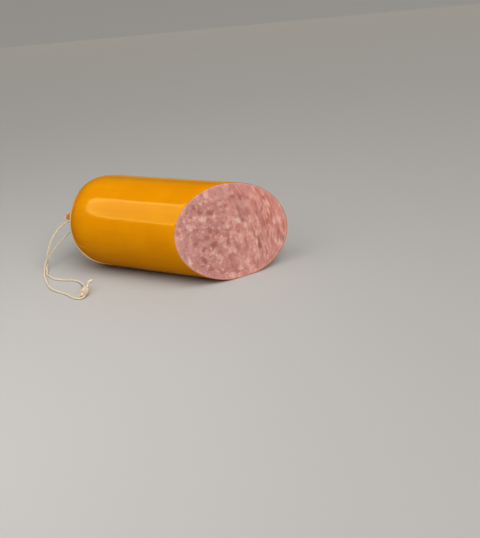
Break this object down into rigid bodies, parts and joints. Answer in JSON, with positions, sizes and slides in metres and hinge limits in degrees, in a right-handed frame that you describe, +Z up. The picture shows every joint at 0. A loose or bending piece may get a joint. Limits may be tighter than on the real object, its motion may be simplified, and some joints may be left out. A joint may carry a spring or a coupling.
{
  "type": "cured sausage",
  "caption": "Length of cooked cured sausage in a smooth orange casing, domed and tied with a twine loop at one end, cut on a slant at the other.",
  "frame": {"origin": "under the middle of the sausage, on the surface that it lies on", "axes": "+X along the sausage towards its cut end, +Z up; the cut face is turned towards -Y"},
  "size_m": [0.22, 0.1236, 0.084],
  "materials": {
    "meat": "moist cut sausage meat, finely ground with small pale and dark bits",
    "casing": "smooth glossy orange film, stretched tight",
    "twine": "twisted natural cotton twine, slightly fuzzy"
  },
  "bodies": {
    "root": {"filling": "meat", "casing": "casing", "neck_binding": "twine", "upper_strand": "twine", "lower_strand": "twine", "loop_knot": "twine"}
  },
  "joints": []
}
